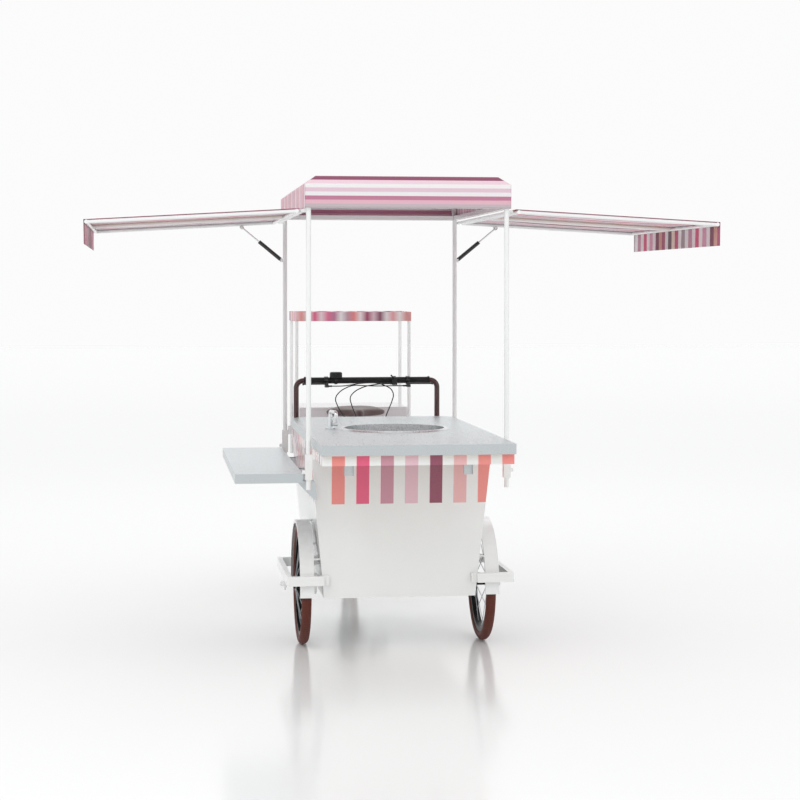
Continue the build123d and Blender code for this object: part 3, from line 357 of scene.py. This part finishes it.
def turned(name, profile, centre, axis, sides, finish, body, smooth=True):
    # a profile of (distance along the axis, radius) turned round the axis
    profile = np.array(profile, float)
    turn = np.linspace(0, 2 * np.pi, sides, endpoint=False)
    axis = np.array(axis, float) / np.linalg.norm(axis)
    side = np.cross(axis, [0.0, 0.0, 1.0] if abs(axis[2]) < 0.9 else [1.0, 0.0, 0.0])
    side /= np.linalg.norm(side)
    up = np.cross(axis, side)
    ring = np.cos(turn)[None, :, None] * side + np.sin(turn)[None, :, None] * up
    points = np.array(centre) + profile[:, 0, None, None] * axis + profile[:, 1, None, None] * ring
    return meshPiece(name, points.reshape(-1, 3), gridFaces(len(profile), sides, closeColumns=True)[:,
        ::-1], finish, body,
                     smooth=smooth)


# tyres: a round section carried round the wheel, with tread blocks raised across the crown

# angles over the section are in radians from the crown
tyre = {"section": 21 * mm, "rimSeat": 218 * mm, "blocks": 110, "depth": 1.2 * mm, "roundSteps": 660,
    "acrossSteps": 34,
        "treadEdge": 0.75, "slant": 3.5, "cut": -0.45, "midRib": 0.12, "sideRib": 1.25, "ribHigh": 0.4 * mm}


def makeTyre(nodeName):
    # reach from the axle = middle radius + section radius x cosine; the section radius drops where the tread is cut
    low, high = corners(nodeName)
    centre = (low + high) / 2
    outer = (high[2] - low[2]) / 2
    middle = outer - tyre["section"]
    edge = np.arccos((tyre["rimSeat"] - middle) / tyre["section"])
    turn = np.linspace(0, 2 * np.pi, tyre["roundSteps"], endpoint=False)[:, None]
    across = np.linspace(-edge, edge, tyre["acrossSteps"])[None, :]
    off = np.abs(across)
    crown = np.clip(1 - off / tyre["treadEdge"], 0, 1) ** 0.3
    wave = np.sin(turn * tyre["blocks"] + tyre["slant"] * off)
    tread = np.where(wave > tyre["cut"], 0, 1) * (off > tyre["midRib"]) * crown
    sideRib = tyre["ribHigh"] * np.exp(-((off - tyre["sideRib"]) / 0.05) ** 2)
    radius = tyre["section"] - tyre["depth"] * tread - tyre["ribHigh"] + sideRib * (off < 1.5)
    reach = middle + radius * np.cos(across)
    points = np.stack([centre[0] + radius * np.sin(across) + 0 * turn, centre[1] + reach * np.sin(turn),
                       centre[2] + reach * np.cos(turn)], -1)
    piece = meshPiece(nodeName + "_tread", points.reshape(-1, 3), gridFaces(tyre["roundSteps"],
        tyre["acrossSteps"], closeRows=True, closeColumns=True),
                      "tyreRubber", bodyOf[nodeName])
    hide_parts(nodeName)
    return piece


for nodeName in ("tyre_left", "tyre_right", "tyre_rear"):
    makeTyre(nodeName)
print("tyres")


# canopy cover: one sheet from hem to crown, in rings of a rectangle

canopy = {"drop": 0.095, "hipIn": 0.046, "ringPoints": 480, "hemRows": 14, "hipRows": 8, "crownRows": 40,
    "sag": 6 * mm}


def canopyCover():
    low, high = corners("canopy_cover")
    half = (high - low)[:2] / 2
    middle = (low + high)[:2] / 2
    eave = low[2] + canopy["drop"]
    hem = np.linspace(0, 1, canopy["hemRows"])
    hip = np.linspace(0, 1, canopy["hipRows"])[1:]
    crown = np.linspace(0, 1, canopy["crownRows"])[1:]
    hipIn = canopy["hipIn"]
    inset = np.concatenate([0 * hem, hipIn * hip, hipIn + crown * (half[0] - hipIn)])
    height = np.concatenate([low[2] + (eave - low[2]) * hem, eave + (high[2] - eave) * hip,
                             np.full(len(crown), high[2])])
    # ring: the same share of each side at every row, so that columns stay straight
    share = np.linspace(0, 4, canopy["ringPoints"], endpoint=False)
    side = np.floor(share)
    t = 2 * (share - side) - 1
    unitX = np.select([side == 0, side == 1, side == 2], [t, 1 + 0 * t, -t], -1 + 0 * t)
    unitY = np.select([side == 0, side == 1, side == 2], [-1 + 0 * t, t, 1 + 0 * t], -t)
    x = unitX[None, :] * (half[0] - inset[:, None])
    y = unitY[None, :] * (half[1] - inset[:, None])
    z = np.repeat(height[:, None], len(share), 1)
    # the top dips between the frame tubes, and the sides ripple slightly towards the hem
    inside = np.clip((inset[:, None] - hipIn) / 0.15, 0, 1)
    z = z - canopy["sag"] * inside * (0.6 + 0.4 * np.cos(y * 9.0))
    down = np.clip((eave - z) / canopy["drop"], 0, 1)
    ripple = -1.5 * mm * down * (0.5 + 0.5 * np.sin((x + y) * 34) * np.sin((x - y) * 21 + 1))
    x = x + ripple * np.abs(unitX[None, :]) ** 6 * np.sign(unitX[None, :])
    y = y + ripple * np.abs(unitY[None, :]) ** 6 * np.sign(unitY[None, :])
    points = np.stack([x + middle[0], y + middle[1], z], -1)
    rows, columns = x.shape
    faces = gridFaces(rows, columns, closeColumns=True)[:, ::-1]
    flat = points.reshape(-1, 3)
    # stripes run across the cart: over the front and rear faces they step with height, elsewhere with depth
    spot = flat[faces]
    place = np.arange(len(faces))
    rim = place // columns < canopy["hemRows"] + canopy["hipRows"] - 2
    frontOrRear = rim & ((place % columns) // (columns // 4) % 2 == 0)
    v = np.where(frontOrRear[:, None], (spot[:, :, 2] - low[2]) * 1.4, spot[:, :, 1] * 1.6)
    uv = np.stack([spot[:, :, 0], v], -1)
    piece = meshPiece("canopy_cloth", flat, faces, "roofCanvas", bodyOf["canopy_cover"],
                      uv=uv.reshape(-1, 2), merge=True)
    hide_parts("canopy_cover")
    thick = piece.modifiers.new("Thickness", "SOLIDIFY")
    thick.thickness = 1.6 * mm
    thick.offset = -1
    return piece


canopyCover()


# flap cloth: a sheet from the hinge over the tubes, then down as the end valance

flapCloth = {"sag": 9 * mm, "alongRows": 90, "dropRows": 16, "columns": 220, "drop": 95 * mm}


def flapSheet(side, name):
    # height = straight line from hinge to end, less a sine sag in each bay; then straight down as the valance
    low, high = corners(f"flap_fabric_{name}")
    frameLow, frameHigh = corners(f"flap_frame_{name}")
    innerX = low[0] if side > 0 else high[0]
    outerX = high[0] if side > 0 else low[0]
    hem = low[2]
    outerTop = hem + flapCloth["drop"] + 1.5 * mm
    s = np.concatenate([np.linspace(0, 1, flapCloth["alongRows"]), np.ones(flapCloth["dropRows"])])[:, None]
    d = np.concatenate([np.zeros(flapCloth["alongRows"]), np.linspace(0, 1,
        flapCloth["dropRows"] + 1)[1:]])[:, None]
    w = np.linspace(0, 1, flapCloth["columns"])[None, :]
    y = low[1] + (high[1] - low[1]) * w + 0 * s
    bays = np.sin(2 * np.pi * w) ** 2          # dips between the front, middle and rear tubes
    z = high[2] + (outerTop - high[2]) * s - flapCloth["sag"] * np.sin(np.pi * s) ** 0.8 * bays * (d == 0)
    x = innerX + (outerX - innerX) * s + 0 * w
    z = z - (outerTop - hem) * d
    x = x - side * (1.5 * mm + 1.5 * mm * np.sin(w * 58) * np.sin(w * 23 + 1)) * d
    points = np.stack([x, y, z + 0 * w], -1)
    rows, columns = y.shape
    faces = gridFaces(rows, columns)
    if side < 0:
        faces = faces[:, ::-1]
    flat = points.reshape(-1, 3)
    run = np.abs(x - innerX) + (outerTop - hem) * d
    uv = np.stack([run, y * 1.0 + 0 * run], -1).reshape(-1, 2)[faces]
    piece = meshPiece(f"flap_cloth_{name}", flat, faces, "flapCanvas", bodyOf[f"flap_fabric_{name}"],
        uv=uv.reshape(-1, 2))
    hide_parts(f"flap_fabric_{name}")
    thick = piece.modifiers.new("Thickness", "SOLIDIFY")
    thick.thickness = 1.4 * mm
    thick.offset = -1
    return piece


for side, name in ((-1, "left"), (1, "right")):
    flapSheet(side, name)
# sign cloth: one band carried round a rectangle with rounded corners

signCloth = {"corner": 11 * mm, "columns": 560, "rows": 14, "pull": 1.2 * mm}


def signBand():
    low, high = corners("sign_band")
    middle, half = (low + high) / 2, (high - low) / 2 - 0.5 * mm
    run = np.linspace(0, 2 * np.pi, signCloth["columns"], endpoint=False)
    # a rectangle walked at even speed, each corner pushed in to a quarter circle
    share = run / (2 * np.pi) * 4
    side = np.floor(share)
    t = 2 * (share - side) - 1
    x = np.select([side == 0, side == 1, side == 2], [t, 1 + 0 * t, -t], -1 + 0 * t) * half[0]
    y = np.select([side == 0, side == 1, side == 2], [-1 + 0 * t, t, 1 + 0 * t], -t) * half[1]
    core = half[:2] - signCloth["corner"]
    cx, cy = np.clip(x, -core[0], core[0]), np.clip(y, -core[1], core[1])
    away = np.maximum(np.hypot(x - cx, y - cy), 1e-9)
    x, y = cx + (x - cx) / away * signCloth["corner"], cy + (y - cy) / away * signCloth["corner"]
    up = np.linspace(0, 1, signCloth["rows"])[:, None]
    # between the corners the cloth pulls in a little at half height
    pull = signCloth["pull"] * np.sin(np.pi * up) * np.abs(np.sin(2 * run))[None, :]
    px = middle[0] + x[None, :] - pull * np.sign(x) * (np.abs(x) > core[0])
    py = middle[1] + y[None, :] - pull * np.sign(y) * (np.abs(y) > core[1])
    pz = low[2] + (high[2] - low[2]) * up + 0 * run[None, :]
    step = np.hypot(np.diff(x, append=x[:1]), np.diff(y, append=y[:1]))
    girth = float(step.sum())
    along = np.concatenate([[0], np.cumsum(step)[:-1]])
    faces = gridFaces(signCloth["rows"], signCloth["columns"], closeColumns=True)[:, ::-1]
    v = np.broadcast_to(along, px.shape).ravel()[faces]
    v = np.where(v.max(1, keepdims=True) - v > girth / 2, v + girth, v)
    uv = np.stack([pz.ravel()[faces], v], -1)
    piece = meshPiece("sign_cloth", np.stack([px, py, pz], -1).reshape(-1, 3), faces, "signCanvas",
        bodyOf["sign_band"],
                      uv=uv.reshape(-1, 2))
    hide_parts("sign_band")
    thick = piece.modifiers.new("Thickness", "SOLIDIFY")
    thick.thickness = 1.4 * mm
    thick.offset = -1


signBand()
print("canopy, flaps and sign")

# saddle: a padded hide over a shell, closed at nose and back

saddle = {"noseTip": 0.674, "deep": 55 * mm, "noseHalf": 27 * mm, "dip": 7 * mm, "noseDrop": 4 * mm,
    "seam": 1.6 * mm, "postRadius": 13.6 * mm,
          "postFoot": (0, 0.742, 0.563), "postHead": (0, 0.866, 0.868)}


def saddlePad():
    # half width swells from nose to back by a smooth step; each cross-section is a flattened ring closed at both ends
    low, high = corners("saddle")
    nose, back, top = max(low[1], saddle["noseTip"]), high[1], high[2]
    base = top - saddle["deep"]
    widest = high[0]
    t = (0.5 - 0.5 * np.cos(np.linspace(0, np.pi, 90)))[:, None]
    a = np.linspace(0, 2 * np.pi, 120, endpoint=False)[None, :]
    close = np.sqrt(np.clip(1 - np.abs(2 * t - 1) ** 5, 0, 1))
    spread = np.clip((t - 0.22) / 0.5, 0, 1)
    spread = spread * spread * (3 - 2 * spread)
    half = (saddle["noseHalf"] + (widest - saddle["noseHalf"]) * spread) * close
    crest = top - saddle["noseDrop"] * (1 - t) - saddle["dip"] * np.sin(np.pi * np.clip(t * 1.15, 0, 1)) ** 2
    crest = crest - (1 - close) * 20 * mm
    floorZ = base + 1 * mm + (1 - close) * 14 * mm + 6 * mm * (1 - spread)
    # upper half crowned, lower half pulled in under the rim, a sewn seam round the widest line
    rise = np.where(np.sin(a) > 0, np.abs(np.sin(a)) ** 0.85, -np.abs(np.sin(a)) ** 0.6)
    waist = base + 20 * mm - (1 - close) * 4 * mm
    z = np.where(rise > 0, waist + (crest - waist) * rise, waist + (waist - floorZ) * rise)
    seam = 1 - saddle["seam"] / np.maximum(half, 10 * mm) * np.exp(-(np.abs(np.sin(a)) / 0.07) ** 2)
    x = half * np.sign(np.cos(a)) * np.abs(np.cos(a)) ** 0.75 * seam * np.where(rise < 0,
        1 - 0.1 * np.abs(rise), 1)
    # the cut-away channel down the middle of the seat
    z = z - 4 * mm * np.exp(-(x / (11 * mm)) ** 2) * np.clip(rise, 0, 1) * np.sin(np.pi * t) ** 1.5
    y = nose + (back - nose) * t + 0 * a
    piece = meshPiece("saddle_pad", np.stack([x, y, z], -1).reshape(-1, 3), gridFaces(90, 120,
        closeColumns=True),
                      "saddleHide", bodyOf["saddle"], merge=True)
    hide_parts("saddle")
    foot, head = np.array(saddle["postFoot"]), np.array(saddle["postHead"])
    run = float(np.linalg.norm(head - foot))
    post = turned("seat_post", [(0, 1e-5), (0, saddle["postRadius"] - 1 * mm), (1 * mm, saddle["postRadius"]),
                                (run - 3 * mm, saddle["postRadius"]), (run, 9 * mm), (run, 1e-5)],
                  foot, head - foot, 40, "chrome", bodyOf["saddle"], smooth=False)
    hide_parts("saddle")


saddlePad()
print("saddle")

# camera, light, floor

camera = {"place": (-1.032, -8.609, 1.506), "turn": 7.551, "lens": 85.5, "shiftY": -0.1403}
view = bpy.data.objects.new("camera", bpy.data.cameras.new("camera"))
bpy.context.scene.collection.objects.link(view)
view.location = camera["place"]
view.rotation_euler = (radians(90), 0, radians(-camera["turn"]))
view.data.lens = camera["lens"]
view.data.sensor_width = 36
view.data.shift_y = camera["shiftY"]
view.data.clip_end = 200
bpy.context.scene.camera = view

floorHalf = 40
floorMat, floorShader = newMaterial("paleFloor")
floorShader.inputs["Base Color"].default_value = linear("F4F5F5")
floorShader.inputs["Roughness"].default_value = 0.14
floorMesh = bpy.data.meshes.new("floor")
floorMesh.from_pydata([(-floorHalf, -floorHalf, 0), (floorHalf, -floorHalf, 0), (floorHalf, floorHalf, 0),
                       (-floorHalf, floorHalf, 0)], [], [(0, 1, 2, 3)])
floor = bpy.data.objects.new("floor", floorMesh)
bpy.context.scene.collection.objects.link(floor)
floorMesh.materials.append(floorMat)

world = bpy.data.worlds.new("studio")
world.use_nodes = True
world.node_tree.nodes["Background"].inputs["Color"].default_value = linear("FFFFFF")
world.node_tree.nodes["Background"].inputs["Strength"].default_value = 0.97
bpy.context.scene.world = world
bpy.context.scene.view_settings.view_transform = "Standard"
lights = {
    # name: place, size of the square panel, power in watts
    "key": ((-3.5, -5.0, 5.5), 3.0, 70),
    "fill": ((4.5, -4.0, 3.5), 3.0, 18),
    "back": ((0.5, 5.0, 5.0), 4.0, 30),
}
for name, (place, size, power) in lights.items():
    lamp = bpy.data.objects.new(name, bpy.data.lights.new(name, "AREA"))
    lamp.data.energy = power
    lamp.data.size = size
    lamp.location = place
    aim = np.array([0, 0, 0.9]) - np.array(place)
    flatRun = np.hypot(aim[0], aim[1])
    lamp.rotation_euler = (np.arctan2(flatRun, -aim[2]), 0, np.arctan2(aim[1], aim[0]) - np.pi / 2)
    bpy.context.scene.collection.objects.link(lamp)
print("camera and lights")
